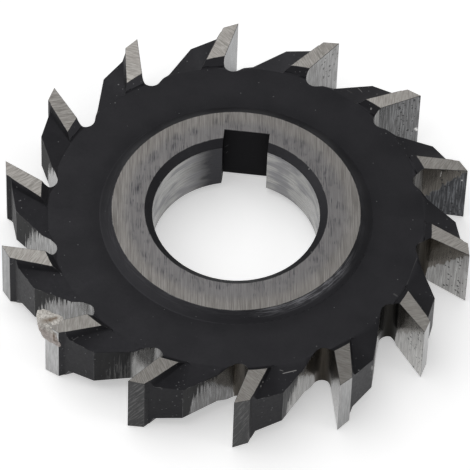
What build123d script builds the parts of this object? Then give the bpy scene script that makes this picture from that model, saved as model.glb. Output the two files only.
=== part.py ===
from build123d import *
import os
from math import radians, tan

# Side-and-face milling cutter: one piece of high-speed steel with straight teeth on its rim and both sides.
# Millimetres. Z runs along the bore, z = 0 is the plane of the lower side tips, and the keyway faces +Y.

os.makedirs("parts", exist_ok=True)

# Cutting size
tooth_count = 14
cutting_diameter = 62.5
cutting_width = 10.0

# From the keyway's centre line to the tip of the first tooth, in degrees
keyway_to_first_tip = 5.8

# Bore and keyway
bore_diameter = 22.0
bore_chamfer_width = 1.0
bore_chamfer_depth = 0.75
keyway_width = 6.0
keyway_depth = 2.1

# Hub ring, ground a little lower than the side tips, with a turned flank down to the web
hub_wall = 5.35
hub_drop = 0.4
hub_flank_run = 1.55
hub_flank_fillet = 0.4

# Web between hub and teeth, and the turned wall that rises from it to the side teeth
web_drop = 1.0
side_tooth_length = 6.35
recess_wall_angle = 48.0
recess_fillet = 0.5

# Tooth space: a flat rake face, a round gullet and the flat back of the tooth ahead
rake_angle = 18.0
rake_length = 5.84
gullet_radius = 1.25
gullet_angle = 41.0

# Rim of a tooth behind its cutting edge: ground land, short step, long relieved back
land_width = 2.14
land_relief = 17.4
step_length = 0.77
step_relief = 67.0
back_relief = 23.5

# Side of a tooth: ground land, then a steep wall down to a flank. Land and flank both dip towards the axis,
# and at its inner end the flank ramps up to the web
side_relief = 5.0
side_dish = 1.9
side_land_flare = 3.2
side_wall_angle = 70.0
flank_drop = 1.46
flank_relief = 6.0
flank_ramp_angle = 40.0

# How far a cutting tool runs past the steel it cuts
overrun = 1.0

tip_radius = cutting_diameter / 2
bore_radius = bore_diameter / 2
half_width = cutting_width / 2
pitch_angle = 360 / tooth_count
keyway_angle = 90.0
first_tip_angle = keyway_angle + keyway_to_first_tip
middle_plane = Plane.XY.offset(half_width)

hub_radius = bore_radius + hub_wall
hub_foot_radius = hub_radius + hub_flank_run
web_radius = tip_radius - side_tooth_length
hub_height = half_width - hub_drop
web_height = hub_height - web_drop
recess_wall_run = (half_width - web_height) / tan(radians(recess_wall_angle))
ramp_top_radius = web_radius - recess_fillet * tan(radians(recess_wall_angle / 2))

# Half-section of the turned blank: radius to the right, height above the middle plane upwards
with BuildSketch(Plane(origin=middle_plane.origin, x_dir=(1, 0, 0), z_dir=(0, -1, 0))) as blank_section:
    with BuildLine():
        Polyline(
            (bore_radius, 0),
            (bore_radius, hub_height - bore_chamfer_depth),
            (bore_radius + bore_chamfer_width, hub_height),
            (hub_radius, hub_height),
            (hub_foot_radius, web_height),
            (web_radius, web_height),
            (web_radius + recess_wall_run, half_width),
            (tip_radius, half_width),
            (tip_radius, 0),
            close=True,
        )
    make_face()
    web_corners = blank_section.vertices().group_by(Axis.Y)[1]
    fillet(web_corners.sort_by(Axis.X)[-1], radius=recess_fillet)
    hub_foot = blank_section.vertices().group_by(Axis.Y)[1].sort_by(Axis.X)[0]
    fillet(hub_foot, radius=hub_flank_fillet)
    mirror(about=Plane.XZ)

# One tooth space, from the tip of a tooth on +X to the tip of the next tooth counterclockwise
tip = Vector(tip_radius, 0)
next_tip = tip.rotate(Axis.Z, pitch_angle)
with BuildSketch(Plane.XY.offset(-overrun)) as tooth_space:
    with BuildLine():
        land = PolarLine(tip, land_width, 90 + land_relief)
        step = PolarLine(land @ 1, step_length, 90 + step_relief)
        rake_face = PolarLine(next_tip, rake_length, 180 - rake_angle + pitch_angle)
        gullet = JernArc(rake_face @ 1, rake_face % 1, gullet_radius, 180 - gullet_angle)
        back_line = PolarLine(step @ 1, tip_radius, 90 + back_relief, mode=Mode.PRIVATE)
        back_face = IntersectingLine(gullet @ 1, gullet % 1, back_line)
        Line(step @ 1, back_face @ 1)
        outside = CenterArc((0, 0), tip_radius + overrun, 0, pitch_angle)
        Line(outside @ 0, tip)
        Line(outside @ 1, next_tip)
    make_face()

# Grinding cut of one side land: everything above a plane through the tip, with side relief and dish
land_plane = Plane(origin=(tip_radius, 0, cutting_width)).rotated((-side_relief, -side_dish, 0))
with BuildPart() as side_grind:
    with BuildSketch(land_plane):
        with Locations((overrun, -overrun)):
            Rectangle(
                side_tooth_length + 2 * overrun,
                (back_face @ 1).Y + overrun,
                align=(Align.MAX, Align.MIN),
            )
    extrude(amount=overrun)
    mirror(about=middle_plane)

# Milling cut behind one side land: a steep wall from the land's back edge down to the sloping flank.
# Its profile has x to the tooth's back and y downwards, and it is swept from outside the rim inwards.
sweep_angle = 180 - rake_angle - side_land_flare
inwards = Vector(1, 0).rotate(Axis.Z, sweep_angle)
backwards = Vector(1, 0).rotate(Axis.Z, sweep_angle - 90)
wall_foot = flank_drop / tan(radians(side_wall_angle))
wall_start = -overrun / tan(radians(side_wall_angle))
flank_plane = Plane(
    origin=land @ 1 + Vector(0, 0, cutting_width) - inwards * overrun,
    x_dir=backwards,
    z_dir=inwards,
).rotated((-side_dish, 0, 0))
flank_end = flank_plane.to_local_coords(gullet.arc_center).X
flank_end_drop = flank_drop + (flank_end - wall_foot) * tan(radians(flank_relief))
with BuildPart() as side_mill:
    with BuildSketch(flank_plane):
        with BuildLine():
            Polyline(
                (wall_start, -overrun),
                (wall_foot, flank_drop),
                (flank_end, flank_end_drop),
                (flank_end, -overrun),
                close=True,
            )
        make_face()
    extrude(amount=tip_radius)
    with Locations((0, 0, half_width)):
        Cone(
            ramp_top_radius + web_height / tan(radians(flank_ramp_angle)),
            ramp_top_radius - (cutting_width - web_height) / tan(radians(flank_ramp_angle)),
            cutting_width,
            align=(Align.CENTER, Align.CENTER, Align.MIN),
            mode=Mode.SUBTRACT,
        )
    mirror(about=middle_plane)

with BuildPart() as cutter:
    # Turned blank with its bore, then the tooth spaces milled through it
    add(blank_section.sketch)
    revolve(axis=Axis.Z)
    with PolarLocations(0, tooth_count, start_angle=first_tip_angle):
        add(tooth_space.sketch)
    extrude(amount=cutting_width + 2 * overrun, mode=Mode.SUBTRACT)

    # Side teeth on both faces
    with PolarLocations(0, tooth_count, start_angle=first_tip_angle):
        add(side_mill.part, mode=Mode.SUBTRACT)
        add(side_grind.part, mode=Mode.SUBTRACT)

    # Broached keyway with sharp corners, open to the bore over its full length
    with BuildSketch(Plane.XY):
        with Locations((0, bore_radius + keyway_depth)):
            Rectangle(keyway_width, bore_radius, align=(Align.CENTER, Align.MAX))
    extrude(amount=cutting_width, mode=Mode.SUBTRACT)

cutter.part.label = "cutter"
export_step(cutter.part, "parts/cutter.step")
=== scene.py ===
import math

import bmesh
import bpy
import numpy as np
from mathutils import Matrix


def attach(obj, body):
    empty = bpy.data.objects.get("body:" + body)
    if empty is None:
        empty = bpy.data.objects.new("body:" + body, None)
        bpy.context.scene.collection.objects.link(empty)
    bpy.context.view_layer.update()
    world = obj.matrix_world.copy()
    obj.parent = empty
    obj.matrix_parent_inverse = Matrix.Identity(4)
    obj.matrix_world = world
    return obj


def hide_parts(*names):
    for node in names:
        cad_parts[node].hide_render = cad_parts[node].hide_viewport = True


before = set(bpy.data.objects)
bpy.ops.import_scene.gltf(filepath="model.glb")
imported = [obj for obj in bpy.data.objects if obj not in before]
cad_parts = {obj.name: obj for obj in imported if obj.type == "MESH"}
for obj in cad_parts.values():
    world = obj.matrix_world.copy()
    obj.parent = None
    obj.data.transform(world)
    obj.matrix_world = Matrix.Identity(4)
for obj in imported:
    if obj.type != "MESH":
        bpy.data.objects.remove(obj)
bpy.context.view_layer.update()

mm = 0.001


# The cutter's body: one disc of high-speed steel, turned to shape, slotted and hardened. Its skin is
# the CAD node's mesh with its triangles joined, and every sharp edge broken by a hair, as handling
# and honing leave it. Each face knows its tooth and its finish, because the finishes differ by face.
tooth_count = 14
first_tip_angle = math.radians(95.8)
half_width = 5.0 * mm
tip_radius = 31.25 * mm
bore_radius = 11.0 * mm
hub_radius = 16.35 * mm
hub_foot_radius = 17.9 * mm
web_radius = 24.9 * mm
hub_height = 4.6 * mm
edge_break = 0.04 * mm

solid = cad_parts["cutter"].data
corners = np.zeros(len(solid.polygons) * 3, int)
solid.loops.foreach_get("vertex_index", corners)
corners = corners.reshape(-1, 3)

# The solid's triangles are joined only within each of its faces, so following them numbers the faces
face_number, last_round = np.arange(len(solid.vertices)), None
while last_round is None or (face_number != last_round).any():
    last_round = face_number.copy()
    np.minimum.at(face_number, corners, face_number[corners].min(1)[:, None])

# Angles between faces, in degrees, above 0 on a ridge and below 0 in a groove: under flat_bend two
# faces shade as one, and a ridge over sharp_bend is broken
flat_bend, sharp_bend = 18, 24
# Below the side lands the milled faces of a tooth run into each other and into the web softly
milled_radius, milled_height = web_radius - 0.7 * mm, 4.2 * mm
deepest_soft_bend, highest_soft_bend = -75, 45
# A face stands upright where the Z of its normal is under this
upright_tilt = 0.15

skin = bpy.data.meshes.new("cutter_skin")
joined = bmesh.new()
joined.from_mesh(solid)
face_layer = joined.faces.layers.int.new("solid_face")
for face, number in zip(joined.faces, face_number[corners[:, 0]].tolist()):
    face[face_layer] = number
bmesh.ops.remove_doubles(joined, verts=joined.verts, dist=0.001 * mm)
broken = joined.edges.layers.float.new("bevel_weight_edge")
for edge in joined.edges:
    first, second = edge.link_faces
    bend = math.degrees(edge.calc_face_angle_signed())
    edge_middle = (edge.verts[0].co + edge.verts[1].co) / 2
    out, up = math.hypot(*edge_middle.xy), abs(edge_middle.z - half_width)
    sloping = min(abs(first.normal.z), abs(second.normal.z)) > upright_tilt
    milled = out > milled_radius and up < milled_height and sloping
    edge.smooth = (first[face_layer] == second[face_layer] or abs(bend) < flat_bend
                   or milled and deepest_soft_bend < bend < highest_soft_bend)
    edge[broken] = float(not edge.smooth and bend > sharp_bend)
joined.to_mesh(skin)
joined.free()
cutter = bpy.data.objects.new("cutter_body", skin)
bpy.context.scene.collection.objects.link(cutter)
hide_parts("cutter")


def turned(points, angle):
    """Points in plan turned about the bore by angle a: x cos a - y sin a, x sin a + y cos a."""
    x, y = points[..., 0], points[..., 1]
    return np.stack([x * np.cos(angle) - y * np.sin(angle),
                     x * np.sin(angle) + y * np.cos(angle)], axis=-1)


def tip_angle(number):
    """The angle of a tooth's tip: that of the first less a pitch for each tooth after it."""
    return first_tip_angle - (number - 1) * 2 * math.pi / tooth_count


def to_run(points, start, end):
    """Distance in plan from each point to the straight run from start to end, both in millimetres.

    The nearest place on the run is start plus a share of the run, and the share is the dot product
    of the run and the way from start to the point, over the run's length squared, kept from 0 to 1.
    """
    start, run = np.array(start) * mm, (np.array(end) - np.array(start)) * mm
    share = np.clip((points - start) @ run / (run @ run), 0, 1)
    return np.linalg.norm(points - start - share[..., None] * run, axis=-1)


centre, normal = np.zeros(len(skin.polygons) * 3), np.zeros(len(skin.polygons) * 3)
skin.polygons.foreach_get("center", centre)
skin.polygons.foreach_get("normal", normal)
centre, normal = centre.reshape(-1, 3), normal.reshape(-1, 3)
radius = np.hypot(centre[:, 0], centre[:, 1])
height = np.abs(centre[:, 2] - half_width)
tilt = np.abs(normal[:, 2])
upright = tilt < upright_tilt

# A tooth's outline in plan, in millimetres, with its tip on +X and its back towards +Y
tip, land_end, step_end, heel = (31.25, 0), (30.61, 2.042), (29.901, 2.343), (28.159, 6.349)
back_foot, rake_root = (21.850, 10.491), (25.696, 1.805)
gullet_centre, gullet_radius = (25.310, 0.616), 1.25
outline_error = 0.06 * mm

# Each upright face of the rim belongs to the part of a tooth's outline that it lies nearest to:
# land, step, relief, back, gullet or rake face
rim_begins, teeth_begin = web_radius * 0.95, web_radius * 0.97
in_teeth = turned(centre[:, None, :], -tip_angle(np.arange(1, tooth_count + 1)[None, :]))
from_gullet = np.linalg.norm(in_teeth - np.array(gullet_centre) * mm, axis=-1)
gaps = np.stack([
    to_run(in_teeth, tip, land_end),
    to_run(in_teeth, land_end, step_end),
    to_run(in_teeth, step_end, heel),
    to_run(in_teeth, heel, back_foot),
    np.abs(from_gullet - gullet_radius * mm),
    to_run(in_teeth, tip, rake_root),
], axis=-1).reshape(len(centre), -1)
rim_tooth, rim_part = gaps.argmin(1) // 6 + 1, gaps.argmin(1) % 6
on_rim = upright & (gaps.min(1) < outline_error) & (radius > rim_begins)
on_land, on_back, in_gullet, on_rake_face = [on_rim & (rim_part == part) for part in (0, 3, 4, 5)]

# On a side face a tooth begins at the line of its rake face, which leans back by rake_lean from the
# tip to the web, and on at the same rate to 1.4 times as far in
rake_lean = math.radians(5.0)
towards_web = np.clip((tip_radius - radius) / (tip_radius - web_radius), 0, 1.4)
behind_first = first_tip_angle + rake_lean * towards_web - np.arctan2(centre[:, 1], centre[:, 0])
side_tooth = np.ceil(behind_first * tooth_count / (2 * math.pi)).astype(int) % tooth_count + 1
tooth = np.where(on_rim, rim_tooth, np.where(radius > teeth_begin, side_tooth, 0))

finish_names = ["black_oxide", "ground_hub_face", "ground_bore", "turned_hub_flank", "ground_side_land",
                "ground_rim_land", "ground_rake_face", "tooth_back", "keyway_black", "broken_edge"]
lowest_side_land, beyond_keyway = 4.35 * mm, 14 * mm
finish = np.zeros(len(centre), int)
for name, faces in [
    ("ground_hub_face", (tilt > 0.99) & (height > hub_height - 0.02 * mm) & (radius < hub_radius)),
    ("ground_bore", upright & (radius < bore_radius + 0.02 * mm)),
    ("turned_hub_flank", (radius > hub_radius) & (radius < hub_foot_radius) & (tilt < 0.98) & ~upright),
    ("ground_side_land", (radius > teeth_begin) & (tilt > 0.985) & (height > lowest_side_land)),
    ("keyway_black", upright & (radius > bore_radius + 0.1 * mm) & (radius < beyond_keyway)),
    ("ground_rim_land", on_land),
    ("ground_rake_face", in_gullet | on_rake_face),
    ("tooth_back", on_back),
]:
    finish[faces] = finish_names.index(name)
skin.polygons.foreach_set("material_index", finish.astype(np.int32))

# What differs from tooth to tooth, for teeth 1 to 14, counted clockwise from the keyway.
# How far the last grinding ran up the back from the gullet, and how high it reached over the middle
# plane, both in millimetres, and how much of the back it took beyond the first third
ground_reach = [5.8, 6.0, 5.6, 6.2, 6.0, 6.2, 6.0, 6.6, 6.8, 6.2, 7.2, 6.0, 4.6, 5.4]
ground_top = [4.0, 4.2, 3.9, 4.1, 4.0, 3.9, 4.2, 3.9, 4.1, 3.9, 4.4, 4.4, 4.0, 3.8]
ground_taken = [1.0, 1.0, 0.8, 1.0, 0.9, 1.0, 1.0, 0.95, 0.9, 0.0, 1.0, 1.0, 1.0, 1.0]
# How far the black beside it on the back has rubbed grey, and how pitted the rake face is
back_rubbed = [0.2, 0.2, 0.1, 0.2, 0.3, 0.2, 0.3, 1.0, 0.1, 0.1, 0.2, 0.1, 0.1, 0.1]
pitted = [0.25, 0.5, 1.0, 0.7, 0.6, 0.7, 0.5, 0.1, 0.1, 0.1, 0.1, 0.15, 0.2, 0.2]
# How bright rake face, gullet, rim land and side land are on each tooth: painted light and shade for how
# each meets the lamps and the floor
rake_painted_light = [0.02, 0.44, 0.22, 0.00, 0.68, 1.0, 0.72, 0.85, 0.34, 0.56, 0.44, 0.46, 0.28, 0.50]
gullet_painted_light = [0.20, 0.47, 0.45, 0.45, 0.68, 1.0, 0.72, 0.85, 0.42, 0.40, 0.44, 0.46, 0.28, 0.50]
rim_painted_light = [0.8, 0.6, 0.7, 0.8, 0.9, 1.0, 0.78, 0.08, 0.06, 0.95, 0.60, 0.8, 0.6, 0.7]
land_painted_light = [0.95, 0.90, 1.14, 1.00, 1.32, 1.18, 0.88, 1.08, 0.95, 1.05, 1.08, 0.86, 0.66, 0.93]
# How strongly the painted brown reflection and shade lie on the rake face and the gullet in front of it:
# over 1 it goes on to black
rake_painted_reflection = [0.0, 0.0, 0.0, 0.85, 0.85, 0.55, 1.0, 0.7, 0.10, 0.0, 0.0, 0.0, 0.0, 0.0]
gullet_painted_reflection = [0.0, 0.0, 0.0, 0.60, 1.30, 2.0, 1.0, 0.95, 0.10, 0.0, 0.0, 0.0, 0.0, 0.0]
# How much the black skin shines on the flank, on the rim, on the back, and on the recess wall, which
# rises from the web at the inner end of the tooth: painted light and shade, set tooth by tooth
flank_painted_light = [1.05, 1.50, 1.20, 1.15, 1.25, 1.20, 1.00, 1.15, 0.95, 0.95, 0.85, 0.65, 0.55, 0.87]
rim_black_painted_light = [1.2, 1.15, 1.0, 1.0, 1.0, 1.1, 1.2, 0.72, 0.55, 0.75, 0.80, 0.30, 0.30, 0.6]
back_painted_light = [1.0, 1.0, 1.0, 1.0, 1.0, 1.0, 1.0, 0.9, 0.60, 0.50, 0.70, 0.35, 0.08, 0.8]
recess_painted_light = [2.05, 1.35, 1.10, 1.45, 1.60, 1.60, 1.10, 0.90, 0.95, 1.30, 1.40, 1.25, 2.90, 3.00]


def of_tooth(values, number=tooth):
    """For each face, the value of the tooth of that number in a list for teeth 1 to 14."""
    return np.take(values, number - 1)


def keep(name, values):
    """Writes one value for each face into the skin, where the finishes read it by its name."""
    kept = skin.attributes.new(name, "FLOAT", "FACE")
    kept.data.foreach_set("value", np.asarray(values, np.float32))


keep("tooth_number", tooth)
keep("tooth_turn", np.where(tooth > 0, tip_angle(tooth), 0))
for name, values in [("ground_reach", ground_reach), ("ground_top", ground_top),
                     ("ground_taken", ground_taken), ("back_rubbed", back_rubbed),
                     ("pitted", pitted), ("rim_painted_light", rim_painted_light), ("land_painted_light", land_painted_light)]:
    keep(name, np.where(tooth > 0, of_tooth(values), 0))
# Painted light and shade for rake faces and gullets, tooth by tooth
keep("rake_painted_light", np.where(in_gullet, of_tooth(gullet_painted_light), of_tooth(rake_painted_light)))

# A back shares its gullet with the rake face of the tooth before it
gullet_tooth = (tooth - 1 - on_back) % tooth_count + 1
# The painted brown reflection and shade, tooth by tooth
keep("painted_reflection", np.where(in_gullet, of_tooth(gullet_painted_reflection, gullet_tooth),
                         of_tooth(rake_painted_reflection, gullet_tooth)))

# The recess wall faces the bore. The fillet at its foot faces it less, lies flatter and shines less:
# painted shade
wall_facing, fillet_facing, fillet_tilt, fillet_painted_shade = -0.25, -0.05, 0.78, 0.72
facing_out = (centre[:, :2] * normal[:, :2]).sum(1) / radius
on_recess_wall = (tooth > 0) & ~on_rim & (facing_out < wall_facing)
on_fillet = (~on_rim & (facing_out < fillet_facing) & (tilt > fillet_tilt)
             & (radius > web_radius - 0.5 * mm))
black_painted_light = np.where(on_back, of_tooth(back_painted_light), of_tooth(rim_black_painted_light))
black_painted_light = np.where(on_rim, black_painted_light, np.where(tooth > 0, of_tooth(flank_painted_light), 1.0))
black_painted_light = np.where(on_recess_wall, of_tooth(recess_painted_light), black_painted_light)
keep("black_painted_light", np.where(on_fillet, fillet_painted_shade, black_painted_light))

skin.polygons.foreach_set("use_smooth", np.ones(len(skin.polygons), bool))
breaking = cutter.modifiers.new("broken edges", "BEVEL")
breaking.limit_method = "WEIGHT"
breaking.width = edge_break
breaking.segments = 1
breaking.use_clamp_overlap = False
breaking.material = finish_names.index("broken_edge")
closing = cutter.modifiers.new("closed corners", "WELD")
closing.merge_threshold = 0.0002 * mm
shading = cutter.modifiers.new("shading by face size", "WEIGHTED_NORMAL")
shading.keep_sharp = True
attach(cutter, "root")


# Black oxide. The whole tool is blackened in a hot salt bath after hardening: a thin, near-black
# satin skin with a faint cloud, pale nicks, fine scratches, and specks of dust that lie in drifts.
def add(tree, kind, inputs=(), **fields):
    """One shader node. inputs sets sockets, by name or number, to a value or another node's output."""
    made = tree.nodes.new("ShaderNode" + kind)
    for name, value in fields.items():
        setattr(made, name, value)
    for name, value in dict(inputs).items():
        if isinstance(value, bpy.types.NodeSocket):
            tree.links.new(value, made.inputs[name])
        else:
            made.inputs[name].default_value = value
    return made


def calc(tree, operation, *values, clamp=False):
    """The output of a Math node that works on one, two or three values."""
    return add(tree, "Math", enumerate(values), operation=operation, use_clamp=clamp).outputs[0]


def ramp(tree, value, low, high, start=0.0, end=1.0):
    """Value carried from the range low to high over to start to end, smooth at both ends."""
    spans = {"Value": value, "From Min": low, "From Max": high, "To Min": start, "To Max": end}
    return add(tree, "MapRange", spans, interpolation_type="SMOOTHSTEP").outputs[0]


def tint(tree, share, first, second):
    """The colour that lies share of the way from first to second."""
    return add(tree, "Mix", {"Factor": share, 6: first, 7: second}, data_type="RGBA").outputs[2]


def vector(tree, operation, *vectors):
    """The vector that a Vector Math node makes of others."""
    return add(tree, "VectorMath", enumerate(vectors), operation=operation).outputs["Vector"]


def measure(tree, operation, *vectors):
    """The number that a Vector Math node makes of vectors: a length, a distance or a dot product."""
    return add(tree, "VectorMath", enumerate(vectors), operation=operation).outputs["Value"]


def scaled(tree, place, factor):
    """A place or colour times one factor."""
    return add(tree, "VectorMath", {0: place, "Scale": factor}, operation="SCALE").outputs["Vector"]


def stretch(tree, place, x, y, z):
    """Place multiplied by x, y and z along its own axes."""
    return vector(tree, "MULTIPLY", place, (x, y, z))


def place_of(tree, x=0.0, y=0.0, z=0.0):
    """The place with this X, Y and Z."""
    return add(tree, "CombineXYZ", {0: x, 1: y, 2: z}).outputs[0]


def from_axis(tree, place):
    """How far a place lies from the bore's axis, in millimetres: the length of its X and Y."""
    return measure(tree, "LENGTH", stretch(tree, place, 1, 1, 0))


def of_face(tree, name):
    """The value that the skin keeps for each face under this name."""
    return add(tree, "Attribute", attribute_name=name).outputs["Fac"]


def noise(tree, place, scale, detail=2.0, roughness=0.5):
    """A cloudy value from 0 to 1 with scale lumps per unit of place."""
    settings = {"Vector": place, "Scale": scale, "Detail": detail, "Roughness": roughness}
    return add(tree, "TexNoise", settings).outputs[0]


def raise_normal(tree, height, distance):
    """The normal of a surface that rises by distance, in metres, where height is 1."""
    return add(tree, "Bump", {"Height": height, "Distance": distance, "Strength": 1.0}).outputs[0]


def new_group(name, inputs, outputs):
    """A node group with these input and output sockets, and the sockets of its two end nodes."""
    tree = bpy.data.node_groups.new(name, "ShaderNodeTree")
    for socket, kind in inputs.items():
        tree.interface.new_socket(name=socket, in_out="INPUT", socket_type="NodeSocket" + kind)
    for socket, kind in outputs.items():
        tree.interface.new_socket(name=socket, in_out="OUTPUT", socket_type="NodeSocket" + kind)
    return tree, tree.nodes.new("NodeGroupInput").outputs, tree.nodes.new("NodeGroupOutput").inputs


def use(tree, group, **inputs):
    """The outputs of a node group placed in a material, with its inputs given by name."""
    named = {name.replace("_", " "): value for name, value in inputs.items()}
    return add(tree, "Group", named, node_tree=group).outputs


def new_finish(name, roughness, metallic, specular=0.5, sheen=(1, 1, 1, 1)):
    """A material for one finish, its tree, its shader's sockets, and the place in millimetres."""
    made = bpy.data.materials.new(name)
    made.use_nodes = True
    tree = made.node_tree
    shader = tree.nodes["Principled BSDF"].inputs
    for socket, value in [("Roughness", roughness), ("Metallic", metallic),
                          ("Specular IOR Level", specular), ("Specular Tint", sheen)]:
        shader[socket].default_value = value
    return made, tree, shader, scaled(tree, add(tree, "TexCoord").outputs["Object"], 1 / mm)


# Specks: round spots, about one in every spacing, and only a share of them there. A spot's radius is
# a quarter of size to all of it, and size is counted in spacings
specks, given, result = new_group(
    "specks", {"Place": "Vector", "Spacing": "Float", "Share": "Float", "Size": "Float"},
    {"Mask": "Float"})
cells = add(specks, "TexVoronoi", {"Vector": given["Place"],
                                   "Scale": calc(specks, "DIVIDE", 1.0, given["Spacing"])}).outputs
chance = add(specks, "SeparateColor", {0: cells["Color"]}).outputs
chosen = calc(specks, "LESS_THAN", chance[0], given["Share"])
spot = calc(specks, "MULTIPLY", given["Size"], calc(specks, "MULTIPLY_ADD", chance[1], 0.75, 0.25))
inside = calc(specks, "SUBTRACT", 1.0, calc(specks, "DIVIDE", cells["Distance"], spot), clamp=True)
specks.links.new(calc(specks, "MULTIPLY", chosen, ramp(specks, inside, 0.0, 0.5)), result["Mask"])

# Scratch: a thin straight mark from start to end, which fades towards its width on both sides
scratch, given, result = new_group(
    "scratch", {"Place": "Vector", "Start": "Vector", "End": "Vector", "Width": "Float"},
    {"Mask": "Float"})
whole_run = vector(scratch, "SUBTRACT", given["End"], given["Start"])
run_here = vector(scratch, "SUBTRACT", given["Place"], given["Start"])
run_share = calc(scratch, "DIVIDE", measure(scratch, "DOT_PRODUCT", whole_run, run_here),
                 measure(scratch, "DOT_PRODUCT", whole_run, whole_run), clamp=True)
aside = measure(scratch, "DISTANCE", run_here, scaled(scratch, whole_run, run_share))
mark = calc(scratch, "SUBTRACT", 1.0, calc(scratch, "DIVIDE", aside, given["Width"]), clamp=True)
scratch.links.new(mark, result["Mask"])

# Grain: the marks of a grinding wheel, fine lines of uneven strength and broad bands, which run along
# Z of the place given and are length times longer than wide
grain, given, result = new_group(
    "grinding_grain", {"Place": "Vector", "Lines per mm": "Float", "Length": "Float"},
    {"Grain": "Float", "Broad": "Float"})
lines_along = calc(grain, "DIVIDE", given["Lines per mm"], given["Length"])
drawn_out = vector(grain, "MULTIPLY", given["Place"],
                   place_of(grain, given["Lines per mm"], given["Lines per mm"], lines_along))
fine = noise(grain, drawn_out, 1.0, 3.0, 0.65)
broad = noise(grain, vector(grain, "ADD", drawn_out, (7.3, 1.9, 4.1)), 0.22, 2.0)
grain.links.new(ramp(grain, fine, 0.3, 0.7), result["Grain"])
grain.links.new(ramp(grain, broad, 0.32, 0.68), result["Broad"])


def scratch_mask(tree, place, start, end, width):
    """1 along the middle of one scratch, and 0 beside it."""
    return use(tree, scratch, Place=place, Start=start, End=end, Width=width)["Mask"]


def scratched(tree, place, color, paint, scratches):
    """The colour with scratches in paint over it, each given by start, end, width and strength."""
    for start, end, width, strength in scratches:
        mark = scratch_mask(tree, place, start, end, width)
        color = tint(tree, calc(tree, "MULTIPLY", mark, strength), color, paint)
    return color


oxide_dark, oxide_light = (0.0042, 0.0042, 0.0052, 1), (0.0076, 0.0074, 0.0086, 1)
nick_grey, bared_steel = (0.22, 0.22, 0.225, 1), (0.42, 0.41, 0.40, 1)
oxide_sheen = (0.93, 0.92, 1.0, 1)


def oxide_colour(tree, place):
    """Near-black, a little bluish, clouded, with pale nicks and dust, both thicker on the teeth."""
    outwards, web_rim = from_axis(tree, place), web_radius / mm
    share = ramp(tree, outwards, web_rim - 3, web_rim + 1, 0.12, 0.50)
    size = ramp(tree, outwards, web_rim - 3, web_rim + 1, 0.10, 0.15)
    nicks = use(tree, specks, Place=place, Spacing=0.95, Share=share, Size=size)["Mask"]
    drifts = ramp(tree, noise(tree, place, 0.30, 2.0), 0.38, 0.62)
    crowded = calc(tree, "MULTIPLY", drifts, ramp(tree, outwards, web_rim - 2, web_rim + 1, 0.05, 0.80))
    dust = use(tree, specks, Place=place, Spacing=0.55, Share=crowded, Size=0.24)["Mask"]
    pale = calc(tree, "MAXIMUM", nicks, calc(tree, "MULTIPLY", dust, 0.60))
    cloud = ramp(tree, noise(tree, place, 0.35, 3.0), 0.3, 0.7)
    clouded = tint(tree, cloud, oxide_dark, oxide_light)
    return tint(tree, calc(tree, "MULTIPLY", pale, 0.8), clouded, nick_grey)


black_oxide, tree, shader, place = new_finish("black_oxide", 0.46, 0.0,
                                              specular=0.33, sheen=oxide_sheen)
color = scratched(tree, place, oxide_colour(tree, place), bared_steel, [
    ((8.80, -24.44, 8.23), (10.42, -23.61, 8.03), 0.09, 0.8),
    ((8.36, -24.01, 8.30), (8.76, -24.07, 8.24), 0.07, 0.5),
    ((24.22, -4.09, 8.60), (23.31, -8.40, 8.51), 0.08, 0.12),
    ((13.82, 23.62, 8.06), (14.42, 22.91, 8.18), 0.06, 0.5),
    ((12.39, 23.11, 8.03), (13.11, 22.60, 8.13), 0.05, 0.2),
    ((-15.69, -21.12, 9.09), (-15.50, -21.57, 8.41), 0.08, 0.3),
    ((-18.00, -22.32, 8.56), (-18.58, -22.80, 8.47), 0.08, 0.3),
    ((-29.49, -0.24, 7.26), (-29.33, -0.81, 3.24), 0.16, 0.25),
    ((22.20, -10.56, 8.60), (21.78, -10.29, 8.60), 0.16, 0.16),
    ((20.01, -20.87, 6.67), (20.05, -20.70, 6.10), 0.30, 0.9),
    ((8.77, 8.00, 9.51), (8.79, 8.01, 9.53), 0.12, 1.0),
    ((10.45, -5.55, 9.50), (10.50, -5.60, 9.60), 0.12, 0.9),
    ((15.91, 19.56, 8.95), (15.93, 19.60, 9.02), 0.16, 1.0),
    ((6.43, -26.66, 9.00), (6.45, -26.70, 9.05), 0.16, 0.9),
    ((6.25, -27.33, 9.01), (6.27, -27.40, 9.06), 0.18, 0.9),
])
tree.links.new(color, shader["Base Color"])

# It shines a little less by the foot of the hub than farther out, a painted shade in that corner, and
# more on the bore's chamfers
outwards, hub_foot, bore_edge = from_axis(tree, place), hub_foot_radius / mm, bore_radius / mm
gloss = calc(tree, "ADD", ramp(tree, outwards, hub_foot - 0.1, hub_foot + 2.6, 0.26, 0.33),
             ramp(tree, outwards, bore_edge + 2.0, bore_edge + 1.5, 0.0, 0.16))
# Tooth by tooth the skin shines more or less: painted light and shade
gloss = calc(tree, "MULTIPLY", of_face(tree, "black_painted_light"), gloss)
tree.links.new(gloss, shader["Specular IOR Level"])
satin = noise(tree, place, 2.2, 4.0, 0.7)
tree.links.new(ramp(tree, satin, 0.25, 0.75, 0.40, 0.54), shader["Roughness"])
tree.links.new(raise_normal(tree, noise(tree, place, 7.0, 3.0, 0.6), 0.004 * mm), shader["Normal"])


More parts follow.
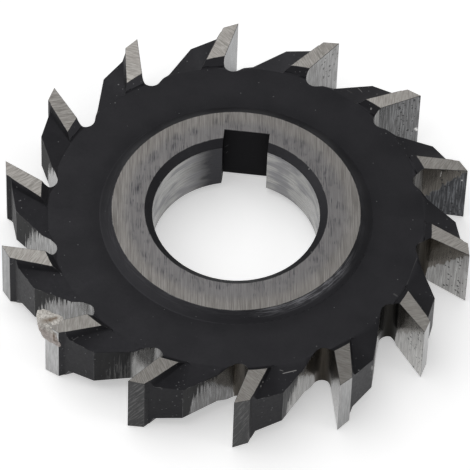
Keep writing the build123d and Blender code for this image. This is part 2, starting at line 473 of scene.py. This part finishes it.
# Keyway. It was broached square before the blackening, and its rough floor and walls took it deepest.
# Two short scratches lie on its floor.
keyway_dark, keyway_light = (0.0030, 0.0030, 0.0038, 1), (0.0062, 0.0062, 0.0076, 1)
scratch_grey = (0.20, 0.20, 0.20, 1)
keyway_black, tree, shader, place = new_finish("keyway_black", 0.62, 0.0,
                                               specular=0.12, sheen=oxide_sheen)
broached = noise(tree, stretch(tree, place, 6.0, 6.0, 0.7), 1.0, 3.0)
black = tint(tree, broached, keyway_dark, keyway_light)
color = scratched(tree, place, black, scratch_grey, [
    ((-2.87, 13.1, 5.83), (-2.48, 13.1, 6.33), 0.09, 0.4),
    ((-2.71, 13.1, 4.56), (-2.50, 13.1, 4.95), 0.09, 0.4),
])
tree.links.new(color, shader["Base Color"])
tree.links.new(raise_normal(tree, broached, 0.006 * mm), shader["Normal"])


# Ground hub faces. Both sides of the hub are surface-ground flat, dead parallel, so that spacing
# collars clamp them. The wheel's marks run straight over the ring in one direction. Towards the bore
# the steel is bluish, with short dark smudges where the old black skin stayed in the marks.
def parts_of(tree, place):
    """The X, Y and Z of a place."""
    return add(tree, "SeparateXYZ", {0: place}).outputs


def turned_place(tree, place, angle):
    """The place turned counterclockwise about the bore's axis."""
    return add(tree, "VectorRotate", {"Vector": place, "Angle": angle}, rotation_type="Z_AXIS").outputs[0]


grind_direction = math.radians(6.4)
hub_top = (half_width + hub_height) / mm
hub_dark, hub_light = (0.145, 0.136, 0.127, 1), (0.300, 0.287, 0.274, 1)
hub_band, hub_bluish = (0.33, 0.317, 0.303, 1), (0.165, 0.165, 0.180, 1)
smudge_black, old_black = (0.045, 0.045, 0.055, 1), (0.040, 0.040, 0.048, 1)
ground_hub_face, tree, shader, place = new_finish("ground_hub_face", 0.36, 1.0)
parts = parts_of(tree, turned_place(tree, place, -grind_direction))
marks_place = place_of(tree, x=parts[0], z=parts[1])
marks = use(tree, grain, Place=marks_place, Lines_per_mm=7.5, Length=34.0)
uneven_radius = calc(tree, "ADD", from_axis(tree, place), noise(tree, place, 0.5, 2.0))
near_bore = ramp(tree, uneven_radius, 15.9, 14.2)
smudge_lines = noise(tree, stretch(tree, marks_place, 7.0, 1.0, 0.42), 1.0, 2.0, 0.6)
smudges = calc(tree, "MULTIPLY", ramp(tree, smudge_lines, 0.42, 0.72),
               ramp(tree, noise(tree, place, 0.55, 2.0), 0.42, 0.58))
smudges = calc(tree, "MULTIPLY", smudges, calc(tree, "MULTIPLY_ADD", near_bore, 0.85, 0.1))
steel = tint(tree, marks["Grain"], hub_dark, hub_light)
steel = tint(tree, calc(tree, "MULTIPLY", marks["Broad"], 0.35), steel, hub_band)
steel = tint(tree, calc(tree, "MULTIPLY", near_bore, 0.45), steel, hub_bluish)
steel = tint(tree, calc(tree, "MULTIPLY", smudges, 0.9), steel, smudge_black)
# The larger smudges, each by the two ends of its middle line in plan, its width and its strength
for start, end, width, strength in [
    ((-2.95, 14.45), (-2.90, 15.50), 0.42, 0.75),
    ((-4.35, 14.05), (-4.25, 14.55), 0.60, 0.55),
    ((-9.35, 10.80), (-9.30, 11.40), 0.55, 0.65),
    ((-11.75, 7.00), (-11.70, 7.90), 0.60, 0.50),
    ((-13.20, 1.60), (-13.10, 2.60), 0.36, 0.60),
    ((-11.00, -3.60), (-10.95, -3.10), 0.40, 0.85),
    ((-7.55, -8.00), (-7.45, -7.20), 0.42, 0.60),
    ((-3.00, -10.35), (-2.90, -9.20), 0.36, 0.85),
    ((7.30, 11.50), (7.40, 12.30), 0.55, 0.55),
    ((9.90, 9.30), (10.05, 10.80), 0.42, 0.60),
    ((12.75, -2.60), (12.85, -1.60), 0.40, 0.55),
    ((9.00, -7.10), (9.10, -5.70), 0.34, 0.70),
    ((6.10, -9.50), (6.20, -8.40), 0.36, 0.60),
]:
    smudge = scratch_mask(tree, place, (*start, hub_top), (*end, hub_top), width)
    smudge = calc(tree, "MULTIPLY", smudge, ramp(tree, smudge_lines, 0.36, 0.60, 0.15, 1.0))
    steel = tint(tree, calc(tree, "MULTIPLY", smudge, strength), steel, old_black)
tree.links.new(steel, shader["Base Color"])
tree.links.new(ramp(tree, marks["Grain"], 0.0, 1.0, 0.44, 0.32), shader["Roughness"])
tree.links.new(raise_normal(tree, marks["Grain"], 0.004 * mm), shader["Normal"])


# Ground bore. Ground round to size for the arbor, so its marks run round the wall, with bluish oil
# marks in them. Beside the keyway, a little counterclockwise of it, the wall fades to near-black: a
# painted dark reflection of the shaded floor in front of it.
dark_reflection_middle, dark_reflection_reach = math.radians(108), math.radians(31)
bore_dark, bore_light = (0.27, 0.268, 0.262, 1), (0.44, 0.438, 0.428, 1)
oil_blue, dark_reflection_black = (0.150, 0.150, 0.172, 1), (0.036, 0.036, 0.040, 1)
ground_bore, tree, shader, place = new_finish("ground_bore", 0.26, 1.0)
parts = parts_of(tree, place)
round_bore = calc(tree, "ARCTAN2", parts[1], parts[0])
wall_place = place_of(tree, x=parts[2], z=calc(tree, "MULTIPLY", round_bore, bore_radius / mm))
marks = use(tree, grain, Place=wall_place, Lines_per_mm=4.5, Length=30.0)
oily = noise(tree, stretch(tree, wall_place, 0.55, 1.0, 0.22), 1.0, 3.0)
steel = tint(tree, marks["Grain"], bore_dark, bore_light)
steel = tint(tree, ramp(tree, oily, 0.45, 0.62, 0.0, 0.55), steel, oil_blue)
# The painted dark reflection, darkest at its middle and fading unevenly out to its reach
from_dark_reflection = calc(tree, "ABSOLUTE", calc(tree, "SUBTRACT", round_bore, dark_reflection_middle))
from_dark_reflection = calc(tree, "ADD", from_dark_reflection, ramp(tree, oily, 0.3, 0.7, -0.10, 0.10))
reflection_darkened = ramp(tree, from_dark_reflection, dark_reflection_reach, 0.06)
tree.links.new(tint(tree, reflection_darkened, steel, dark_reflection_black), shader["Base Color"])
tree.links.new(ramp(tree, oily, 0.3, 0.7, 0.24, 0.40), shader["Roughness"])
tree.links.new(raise_normal(tree, marks["Grain"], 0.003 * mm), shader["Normal"])


# Turned hub flank. The slope from the hub down to the web keeps its fine lathe rings under the black
# skin, and on one side, close under the ground face, their crests carry a painted grey highlight.
highlight_direction = math.radians(-47)
painted_highlight_grey = (0.220, 0.220, 0.235, 1)
turned_hub_flank, tree, shader, place = new_finish("turned_hub_flank", 0.44, 0.0,
                                                   specular=0.36, sheen=oxide_sheen)
parts, outwards = parts_of(tree, place), from_axis(tree, place)
round_hub = calc(tree, "ARCTAN2", parts[1], parts[0])
ring_place = place_of(tree, x=outwards, z=calc(tree, "MULTIPLY", round_hub, hub_radius / mm))
lathe_rings = use(tree, grain, Place=ring_place, Lines_per_mm=7.0, Length=16.0)
# The painted highlight lies on the side towards the front right, on the ring crests near the hub
facing_highlight = calc(tree, "COSINE", calc(tree, "SUBTRACT", round_hub, highlight_direction))
painted_highlight = calc(tree, "MULTIPLY", ramp(tree, facing_highlight, 0.85, 1.0, 0.08, 1.0),
            ramp(tree, outwards, hub_foot_radius / mm - 0.3, hub_radius / mm + 0.2))
painted_highlight = calc(tree, "MULTIPLY", painted_highlight, ramp(tree, lathe_rings["Grain"], 0.2, 1.0, 0.12, 1.0))
tree.links.new(tint(tree, painted_highlight, oxide_colour(tree, place), painted_highlight_grey), shader["Base Color"])


# Ground side lands. The narrow strip behind each side edge is ground last, with the wheel crossing
# the tooth at a slant, which leaves fine slanting scratches on a warm grey steel.
pattern_rise = 13.7


def tooth_place(tree, place):
    """The place turned so that the face's own tooth points along X and its back lies towards +Y.

    It comes twice: as it is, and raised by pattern_rise times the tooth's number, for patterns, so
    that no two teeth are marked alike.
    """
    own = turned_place(tree, place, calc(tree, "MULTIPLY", of_face(tree, "tooth_turn"), -1.0))
    raised_by = calc(tree, "MULTIPLY", of_face(tree, "tooth_number"), pattern_rise)
    return own, vector(tree, "ADD", own, place_of(tree, z=raised_by))


side_scratch_slant = math.radians(48)
side_dark, side_light = (0.235, 0.223, 0.206, 1), (0.440, 0.424, 0.400, 1)
side_band = (0.285, 0.265, 0.250, 1)
ground_side_land, tree, shader, place = new_finish("ground_side_land", 0.30, 1.0)
own, own_raised = tooth_place(tree, place)
slanted = parts_of(tree, turned_place(tree, own, -side_scratch_slant))
slant_place = place_of(tree, slanted[1], parts_of(tree, own_raised)[2], slanted[0])
marks = use(tree, grain, Place=slant_place, Lines_per_mm=8.0, Length=14.0)
steel = tint(tree, marks["Grain"], side_dark, side_light)
steel = tint(tree, calc(tree, "MULTIPLY", marks["Broad"], 0.4), steel, side_band)
# Painted light and shade: each tooth's side land made lighter or darker
tree.links.new(scaled(tree, steel, of_face(tree, "land_painted_light")), shader["Base Color"])
tree.links.new(ramp(tree, marks["Grain"], 0.0, 1.0, 0.40, 0.28), shader["Roughness"])
tree.links.new(raise_normal(tree, marks["Grain"], 0.004 * mm), shader["Normal"])


# Ground rim lands. The strip behind the rim edge is ground along the axis, and its brightness on each
# tooth is painted light and shade. Two neighbouring teeth are scratched at a slant and near-black: a
# painted dark reflection of the shaded floor in front of them.
rim_dark, rim_light = (0.34, 0.34, 0.34, 1), (0.50, 0.50, 0.50, 1)
rim_painted_shade_dark, rim_painted_shade_light = (0.024, 0.024, 0.025, 1), (0.090, 0.090, 0.090, 1)
ground_rim_land, tree, shader, place = new_finish("ground_rim_land", 0.30, 1.0)
own, own_raised = tooth_place(tree, place)
marks = use(tree, grain, Place=own_raised, Lines_per_mm=5.0, Length=9.0)
parts = parts_of(tree, own_raised)
slant_place = place_of(tree, x=calc(tree, "SUBTRACT", parts[2], calc(tree, "MULTIPLY", parts[1], 1.5)),
                       z=calc(tree, "ADD", parts[2], parts[1]))
slanting = use(tree, grain, Place=slant_place, Lines_per_mm=2.2, Length=8.0)
bright = tint(tree, marks["Grain"], rim_dark, rim_light)
painted_dark_steel = tint(tree, ramp(tree, slanting["Grain"], 0.5, 1.0), rim_painted_shade_dark, rim_painted_shade_light)
# Painted light and shade: on each tooth a mix of the dark, slant-scratched steel and the bright
tree.links.new(tint(tree, of_face(tree, "rim_painted_light"), painted_dark_steel, bright), shader["Base Color"])
tree.links.new(ramp(tree, marks["Broad"], 0.0, 1.0, 0.28, 0.40), shader["Roughness"])
tree.links.new(raise_normal(tree, marks["Grain"], 0.003 * mm), shader["Normal"])


# Ground rake faces and gullets. Each tooth is sharpened on its face by a wheel fed along the axis:
# bright, streaky steel, with dark pits near the cutting edge where rust had eaten into some teeth
# before. How bright each face is, tooth by tooth, is painted light and shade. On some, the gullet and
# what is above it carry a painted brown reflection of the tooth across the gullet, with painted shade.
brown_pale, brown_deep = (0.33, 0.295, 0.250, 1), (0.085, 0.072, 0.056, 1)
brown_black = (0.020, 0.018, 0.015, 1)
gullet_side, brown_climb, brown_fall, brown_start = 0.44, 1.28, 8.0, half_width / mm - 1.9
gullet_inwards = (-0.783, 0.622)


def painted_reflection(tree, own, centre, inwards):
    """How much painted brown reflection and shade lie on the steel, and with which brown, darkest in the
    gullet, which it fills.

    A place's depth is how far it lies from centre, the middle of the gullet's round, along inwards,
    which points to its bottom. The painted reflection lies above a line. Where depth is over gullet_side,
    the line falls by brown_fall for each millimetre of it, and so leaves nothing of the gullet clear.
    Outside it climbs from brown_start by brown_climb for each millimetre that depth is less. A noise
    makes the line uneven. The brown deepens with depth, and where the face's amount is over 1, to black.
    """
    depth = measure(tree, "DOT_PRODUCT", vector(tree, "SUBTRACT", own, (*centre, 0)), (*inwards, 0))
    outside = calc(tree, "SUBTRACT", gullet_side, depth)
    climb = calc(tree, "MULTIPLY", calc(tree, "MAXIMUM", outside, 0.0), brown_climb)
    fall = calc(tree, "MULTIPLY", calc(tree, "MINIMUM", outside, 0.0), brown_fall)
    line = calc(tree, "ADD", calc(tree, "ADD", climb, fall), brown_start)
    uneven = noise(tree, stretch(tree, own, 2.2, 2.2, 0.7), 1.0, 3.0, 0.65)
    uneven = ramp(tree, uneven, 0.3, 0.7, -0.45, 0.45)
    above = calc(tree, "ADD", calc(tree, "SUBTRACT", parts_of(tree, own)[2], line), uneven)
    amount = of_face(tree, "painted_reflection")
    stain_and_reflection = tint(tree, ramp(tree, depth, 0.2, 1.1), brown_pale, brown_deep)
    stain_and_reflection = tint(tree, calc(tree, "SUBTRACT", amount, 1.0, clamp=True), stain_and_reflection, brown_black)
    return calc(tree, "MULTIPLY", ramp(tree, above, -0.25, 0.25), amount, clamp=True), stain_and_reflection


rake_dark, rake_light = (0.36, 0.355, 0.345, 1), (0.66, 0.655, 0.64, 1)
rake_band = (0.42, 0.41, 0.40, 1)
# The dark steel that the painted shade brings in
painted_shade_dark, painted_shade_light = (0.050, 0.051, 0.055, 1), (0.15, 0.155, 0.165, 1)
pit_black, struck_bright = (0.026, 0.026, 0.028, 1), (0.90, 0.89, 0.87, 1)
pits_begin, pits_full = 27.4, 28.4


def ground_along_axis(tree, place, centre, inwards):
    """The colour of bright steel, streaked along the axis, with painted light and shade, a painted brown
    reflection and pits, and its marks.
    """
    own, own_raised = tooth_place(tree, place)
    marks = use(tree, grain, Place=own_raised, Lines_per_mm=5.5, Length=16.0)
    bright = tint(tree, marks["Grain"], rake_dark, rake_light)
    bright = tint(tree, calc(tree, "MULTIPLY", marks["Broad"], 0.4), bright, rake_band)
    painted_dark_steel = tint(tree, ramp(tree, marks["Grain"], 0.3, 1.0), painted_shade_dark, painted_shade_light)
    # Painted light and shade: the tooth's own brightness, raised under the painted brown reflection,
    # which is then laid over it
    brown, stain_and_reflection = painted_reflection(tree, own, centre, inwards)
    painted_brightness = calc(tree, "MAXIMUM", of_face(tree, "rake_painted_light"), calc(tree, "MULTIPLY", brown, 0.65))
    steel = add(tree, "Mix", {"Factor": brown, 6: tint(tree, painted_brightness, painted_dark_steel, bright), 7: stain_and_reflection},
                data_type="RGBA", blend_type="MULTIPLY").outputs[2]
    near_edge = ramp(tree, parts_of(tree, own)[0], pits_begin, pits_full)
    share = calc(tree, "MULTIPLY", of_face(tree, "pitted"), near_edge)
    pits = use(tree, specks, Place=own_raised, Spacing=0.50, Share=share, Size=0.50)["Mask"]
    return tint(tree, calc(tree, "MULTIPLY", pits, 0.85), steel, pit_black), marks["Grain"]


ground_rake_face, tree, shader, place = new_finish("ground_rake_face", 0.20, 1.0)
shader["Anisotropic"].default_value = 0.75
tree.links.new(add(tree, "Tangent", direction_type="RADIAL", axis="Z").outputs[0], shader["Tangent"])
steel, marks_height = ground_along_axis(tree, place, gullet_centre, gullet_inwards)
# A few faces were struck, which left small bright nicks
color = scratched(tree, place, steel, struck_bright, [
    ((21.98, 21.68, 3.08), (22.20, 21.78, 2.65), 0.30, 0.9),
    ((26.16, 9.96, 9.30), (26.09, 9.96, 8.30), 0.07, 0.9),
    ((28.96, 9.99, 7.95), (28.98, 9.99, 7.80), 0.11, 0.9),
    ((22.64, -12.46, 5.77), (22.80, -12.66, 5.61), 0.20, 0.9),
])
tree.links.new(color, shader["Base Color"])
tree.links.new(raise_normal(tree, marks_height, 0.004 * mm), shader["Normal"])


# Tooth backs. The flat that runs from the heel down to the gullet is black, except where the
# sharpening wheel ran on past the gullet. Its round rim left a bright patch there with a curved,
# ragged border of streaks along the axis.
back_grey = (0.085, 0.085, 0.088, 1)
tooth_back, tree, shader, place = new_finish("tooth_back", 0.42, 0.0)
# It shines more or less tooth by tooth: painted light and shade
tree.links.new(calc(tree, "MULTIPLY", of_face(tree, "black_painted_light"), 0.30), shader["Specular IOR Level"])
own, own_raised = tooth_place(tree, place)
back_length = math.dist(heel, back_foot)
up_the_back = ((heel[0] - back_foot[0]) / back_length, (heel[1] - back_foot[1]) / back_length, 0)
climbed = measure(tree, "DOT_PRODUCT", vector(tree, "SUBTRACT", own, (*back_foot, 0)), up_the_back)

# The border is a quarter of an oval: its height is top times the root of 1 less share squared, where
# share is how much of the grinding's reach up the back is used
share = calc(tree, "DIVIDE", calc(tree, "MAXIMUM", climbed, 0.0), of_face(tree, "ground_reach"),
             clamp=True)
top = calc(tree, "ADD", of_face(tree, "ground_top"), half_width / mm)
oval = calc(tree, "SQRT", calc(tree, "SUBTRACT", 1.0, calc(tree, "MULTIPLY", share, share)))
ragged = noise(tree, stretch(tree, own_raised, 4.5, 4.5, 0.12), 1.0, 3.0, 0.7)
ragged = calc(tree, "MULTIPLY", ramp(tree, ragged, 0.3, 0.7, -1.1, 0.9),
              calc(tree, "MULTIPLY_ADD", share, 2.2, 0.6))
border = calc(tree, "ADD", calc(tree, "MULTIPLY", top, oval), ragged)
below = calc(tree, "SUBTRACT", border, parts_of(tree, own)[2])

# Up to 2.4 mm from the foot the patch is whole, and beyond it may be no more than streaks
whole = calc(tree, "MAXIMUM", of_face(tree, "ground_taken"), ramp(tree, climbed, 2.9, 2.4))
streaks = noise(tree, stretch(tree, own_raised, 5.5, 5.5, 0.22), 1.0, 3.0, 0.7)
streaks = ramp(tree, streaks, 0.46, 0.60, 0.0, 0.30)
patch = calc(tree, "MULTIPLY", ramp(tree, below, -0.15, 0.25),
             calc(tree, "MULTIPLY_ADD", calc(tree, "SUBTRACT", 1.0, whole), streaks, whole))

# The gullet at the back's foot is one pitch on from the tooth's own
pitch = 2 * math.pi / tooth_count
ground, marks_height = ground_along_axis(tree, place, turned(np.array(gullet_centre), pitch).tolist(),
                                         turned(np.array(gullet_inwards), pitch).tolist())
drag = use(tree, grain, Place=own_raised, Lines_per_mm=3.0, Length=12.0)
rubbed = calc(tree, "MULTIPLY", of_face(tree, "back_rubbed"),
              ramp(tree, drag["Grain"], 0.2, 1.0, 0.25, 0.9))
black = tint(tree, rubbed, oxide_colour(tree, place), back_grey)
tree.links.new(tint(tree, patch, black, ground), shader["Base Color"])
tree.links.new(patch, shader["Metallic"])
tree.links.new(ramp(tree, patch, 0.0, 1.0, 0.44, 0.20), shader["Roughness"])
tree.links.new(raise_normal(tree, marks_height, 0.004 * mm), shader["Normal"])


# Broken edges. A hair's width along every sharp edge, where the black skin has rubbed through in
# places to the bare steel.
edge_dark, edge_bare = (0.018, 0.018, 0.020, 1), (0.17, 0.17, 0.17, 1)
broken_edge, tree, shader, place = new_finish("broken_edge", 0.36, 0.6)
rubbed_through = ramp(tree, noise(tree, place, 0.9, 4.0, 0.65), 0.48, 0.72)
tree.links.new(tint(tree, rubbed_through, edge_dark, edge_bare), shader["Base Color"])

for material in (black_oxide, ground_hub_face, ground_bore, turned_hub_flank, ground_side_land,
                 ground_rim_land, ground_rake_face, tooth_back, keyway_black, broken_edge):
    skin.materials.append(material)


# The smeared corner. The upper outer corner of the tenth tooth was struck hard, and the steel there
# smeared forwards and outwards into a pale, crumbling burr that still hangs on the tip.
burr_tooth = 10
burr_middle = np.array([30.95, -0.15, 9.0])
burr_lumps = [
    ((30.25, -1.40, 9.25), (1.10, 1.20, 0.70)),
    ((31.22, -0.55, 8.55), (0.42, 0.60, 1.50)),
    ((31.20, 0.90, 8.20), (0.18, 1.25, 1.60)),
    ((31.26, 1.95, 7.20), (0.16, 0.45, 0.35)),
    ((29.90, 0.25, 9.72), (1.10, 0.80, 0.28)),
]
burr_fill = 0.37
burr_reach = 3.6
burr_top = 2 * half_width / mm - 0.02
crumb_sizes = [(0.30, 0.10, 60), (0.13, 0.10, 300), (0.06, 0.06, 1200)]
rings, spokes, steps = 120, 200, 220


def burr_points():
    """The burr's skin in its tooth's own frame, in millimetres: top pole, rings of points, low pole.

    A lump fills the space round its middle by e to the power of minus (x/a) squared, (y/b) squared
    and (z/c) squared together, where a, b and c are its half sizes. Behind the tip all of them draw
    in as the rim land does. In each direction from burr_middle the skin lies at the last step, out
    to burr_reach, at which the lumps' sum is over burr_fill. Then crumbs, given by width, rise and
    count, push it in or out: each by up to its rise, times e to the power of minus (d/width)
    squared, where d is how far apart its direction and the point's lie on a ball of radius 1. Last,
    nothing stands above burr_top.
    """
    polar = np.pi * np.arange(1, rings) / rings
    around = 2 * np.pi * np.arange(spokes) / spokes
    directions = np.stack([np.outer(np.sin(polar), np.cos(around)),
                           np.outer(np.sin(polar), np.sin(around)),
                           np.outer(np.cos(polar), np.ones(spokes))], axis=-1).reshape(-1, 3)
    directions = np.vstack([[0, 0, 1], directions, [0, 0, -1]])
    distances = np.linspace(0.05, burr_reach, steps)
    samples = burr_middle + directions[:, None, :] * distances[None, :, None]
    samples[..., 0] += np.maximum(samples[..., 1], 0) * (tip[0] - land_end[0]) / land_end[1]
    fill = sum(np.exp(-(((samples - np.array(lump)) / np.array(half_sizes)) ** 2).sum(-1))
               for lump, half_sizes in burr_lumps)
    skin_at = distances[steps - 1 - np.argmax((fill > burr_fill)[:, ::-1], axis=1)]
    crumbs = np.random.default_rng(10)
    for width, rise, count in crumb_sizes:
        toward = crumbs.normal(size=(count, 3))
        toward /= np.linalg.norm(toward, axis=1)[:, None]
        apart_squared = 2 - 2 * directions @ toward.T
        pushes = crumbs.uniform(-1, 1, count) * np.exp(-apart_squared / width ** 2)
        skin_at = skin_at + rise * pushes.sum(1)
    points = burr_middle + directions * skin_at[:, None]
    points[:, 2] = np.minimum(points[:, 2], burr_top)
    return points


def burr_faces():
    """Faces over the burr's points: four-sided between neighbouring rings, and a fan at each pole."""
    grid = 1 + np.arange((rings - 1) * spokes).reshape(rings - 1, spokes)
    beside = np.roll(grid, -1, axis=1)
    sides = np.stack([grid[:-1], grid[1:], beside[1:], beside[:-1]], axis=-1).reshape(-1, 4)
    top_fan = np.column_stack([np.zeros(spokes, int), grid[0], beside[0]])
    low_fan = np.column_stack([np.full(spokes, grid[-1, -1] + 1), beside[-1], grid[-1]])
    return sides.tolist() + top_fan.tolist() + low_fan.tolist()


at_tip = burr_points()
in_place = np.column_stack([turned(at_tip, tip_angle(burr_tooth)), at_tip[:, 2]]) * mm
burr_skin = bpy.data.meshes.new("smeared_corner")
burr_skin.from_pydata(in_place.tolist(), [], burr_faces())
burr_skin.polygons.foreach_set("use_smooth", np.ones(len(burr_skin.polygons), bool))
burr = bpy.data.objects.new("smeared_corner", burr_skin)
bpy.context.scene.collection.objects.link(burr)

# Pale on top and pinkish below, mottled, with brown stains, each given by the two ends of its middle
# line, its width, and its strength where the burr is most crumbled
pale_dark, pale_light = (0.36, 0.33, 0.30, 1), (0.80, 0.77, 0.72, 1)
pink_dark, pink_light = (0.36, 0.32, 0.30, 1), (0.72, 0.64, 0.60, 1)
burr_brown = (0.16, 0.105, 0.060, 1)
smeared_steel, tree, shader, place = new_finish("smeared_steel", 0.62, 0.0, specular=0.3)
crumbled = noise(tree, place, 3.2, 4.0, 0.7)
pale = tint(tree, ramp(tree, crumbled, 0.3, 0.65), pale_dark, pale_light)
pinkish = tint(tree, ramp(tree, crumbled, 0.3, 0.7), pink_dark, pink_light)
color = tint(tree, ramp(tree, parts_of(tree, place)[2], 9.4, 8.6), pale, pinkish)
for start, end, width, strength in [
    ((-22.53, -21.36, 9.85), (-21.79, -21.10, 9.85), 0.60, 1.1),
    ((-21.79, -21.10, 9.85), (-21.06, -20.69, 9.85), 0.45, 1.3),
    ((-21.13, -22.64, 9.21), (-21.07, -22.67, 7.73), 0.20, 1.3),
    ((-21.07, -22.67, 7.73), (-20.51, -22.97, 7.92), 0.22, 1.3),
]:
    stain_and_reflection = calc(tree, "MULTIPLY", scratch_mask(tree, place, start, end, width),
                 ramp(tree, crumbled, 0.35, 0.6, 0.3, strength), clamp=True)
    color = tint(tree, stain_and_reflection, color, burr_brown)
tree.links.new(color, shader["Base Color"])
tree.links.new(raise_normal(tree, noise(tree, place, 7.0, 4.0, 0.7), 0.08 * mm), shader["Normal"])
burr_skin.materials.append(smeared_steel)
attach(burr, "root")


# The floor the cutter stands on: a plain white sheet that runs on far behind it. Part of its white is
# its own, for the camera and in the steel's reflections, so the cutter's shadow on it stays soft.
floor_reach = 3
floor_corners = [(x * floor_reach, y * floor_reach, 0) for x, y in [(-1, -1), (1, -1), (1, 1), (-1, 1)]]
floor_skin = bpy.data.meshes.new("floor")
floor_skin.from_pydata(floor_corners, [], [(0, 1, 2, 3)])
floor = bpy.data.objects.new("floor", floor_skin)
bpy.context.scene.collection.objects.link(floor)
floor_paint = bpy.data.materials.new("white_sheet")
floor_paint.use_nodes = True
tree = floor_paint.node_tree
tree.nodes.clear()
rays = add(tree, "LightPath").outputs
seen = calc(tree, "MAXIMUM", calc(tree, "MAXIMUM", rays["Is Camera Ray"], rays["Is Glossy Ray"]),
            rays["Is Transmission Ray"])
sheet = add(tree, "BsdfDiffuse", {"Color": (0.90, 0.90, 0.90, 1)}).outputs[0]
own_white = calc(tree, "MULTIPLY", seen, 0.42)
glow = add(tree, "Emission", {"Color": (1, 1, 1, 1), "Strength": own_white}).outputs[0]
both = add(tree, "AddShader", {0: sheet, 1: glow}).outputs[0]
tree.links.new(both, add(tree, "OutputMaterial").inputs["Surface"])
floor_skin.materials.append(floor_paint)


# The camera stands where the photograph's stood, 684 mm from the cutter with a long lens, and looks
# down on it from in front. It is fitted to a frame of 470 by 470 pixels.
camera_azimuth, camera_elevation, camera_roll = np.radians([4.594, 52.908, 2.213])
camera_distance, aim_left, aim_down = 684, 0.052, 0.550
cutter_middle = np.array([0, 0, half_width])
towards = np.array([math.sin(camera_azimuth) * math.cos(camera_elevation),
                    -math.cos(camera_azimuth) * math.cos(camera_elevation),
                    math.sin(camera_elevation)])
across = np.array([math.cos(camera_azimuth), math.sin(camera_azimuth), 0])
upwards = np.cross(towards, across)
picture_right = across * math.cos(camera_roll) + upwards * math.sin(camera_roll)
picture_up = upwards * math.cos(camera_roll) - across * math.sin(camera_roll)
eye = cutter_middle + towards * camera_distance * mm
aim = cutter_middle - picture_right * aim_left * mm - picture_up * aim_down * mm


def looking(eye, aim, up):
    """The matrix of a camera or lamp at eye that points its -Z at aim, with up as its top.

    Its Z runs from aim to eye, its X is up crossed with Z, and its Y is Z crossed with X.
    """
    back = (eye - aim) / np.linalg.norm(eye - aim)
    side = np.cross(up, back) / np.linalg.norm(np.cross(up, back))
    columns = np.column_stack([side, np.cross(back, side), back, eye])
    return Matrix(np.vstack([columns, [0, 0, 0, 1]]).tolist())


lens = bpy.data.cameras.new("camera")
lens.lens = 397.66
lens.sensor_width = 36
lens.clip_start = 0.01
lens.clip_end = 20
camera = bpy.data.objects.new("camera", lens)
camera.matrix_world = looking(eye, aim, picture_up)
bpy.context.scene.collection.objects.link(camera)
bpy.context.scene.camera = camera


# The studio: a dim even room, one large soft lamp overhead to the left, and a small, weak one to the
# right of the camera.
world = bpy.data.worlds.new("studio")
world.use_nodes = True
tree = world.node_tree
tree.nodes.clear()
room = add(tree, "Background", {"Color": (1, 1, 1, 1), "Strength": 0.36}).outputs[0]
tree.links.new(room, add(tree, "OutputWorld").inputs["Surface"])
bpy.context.scene.world = world

for name, stands_at, up, size, power in [
    ("overhead_lamp", (-0.70, 0.28, 1.30), (1, 1, 0), 1.95, 13.7),
    ("side_lamp", (1.55, -0.40, 1.90), (0, 1, 0), 0.60, 3.0),
]:
    lamp = bpy.data.lights.new(name, "AREA")
    lamp.shape = "RECTANGLE"
    lamp.size, lamp.size_y, lamp.energy = size, size, power
    stand = bpy.data.objects.new(name, lamp)
    stand.matrix_world = looking(np.array(stands_at), cutter_middle, np.array(up))
    bpy.context.scene.collection.objects.link(stand)

bpy.context.scene.view_settings.view_transform = "Standard"
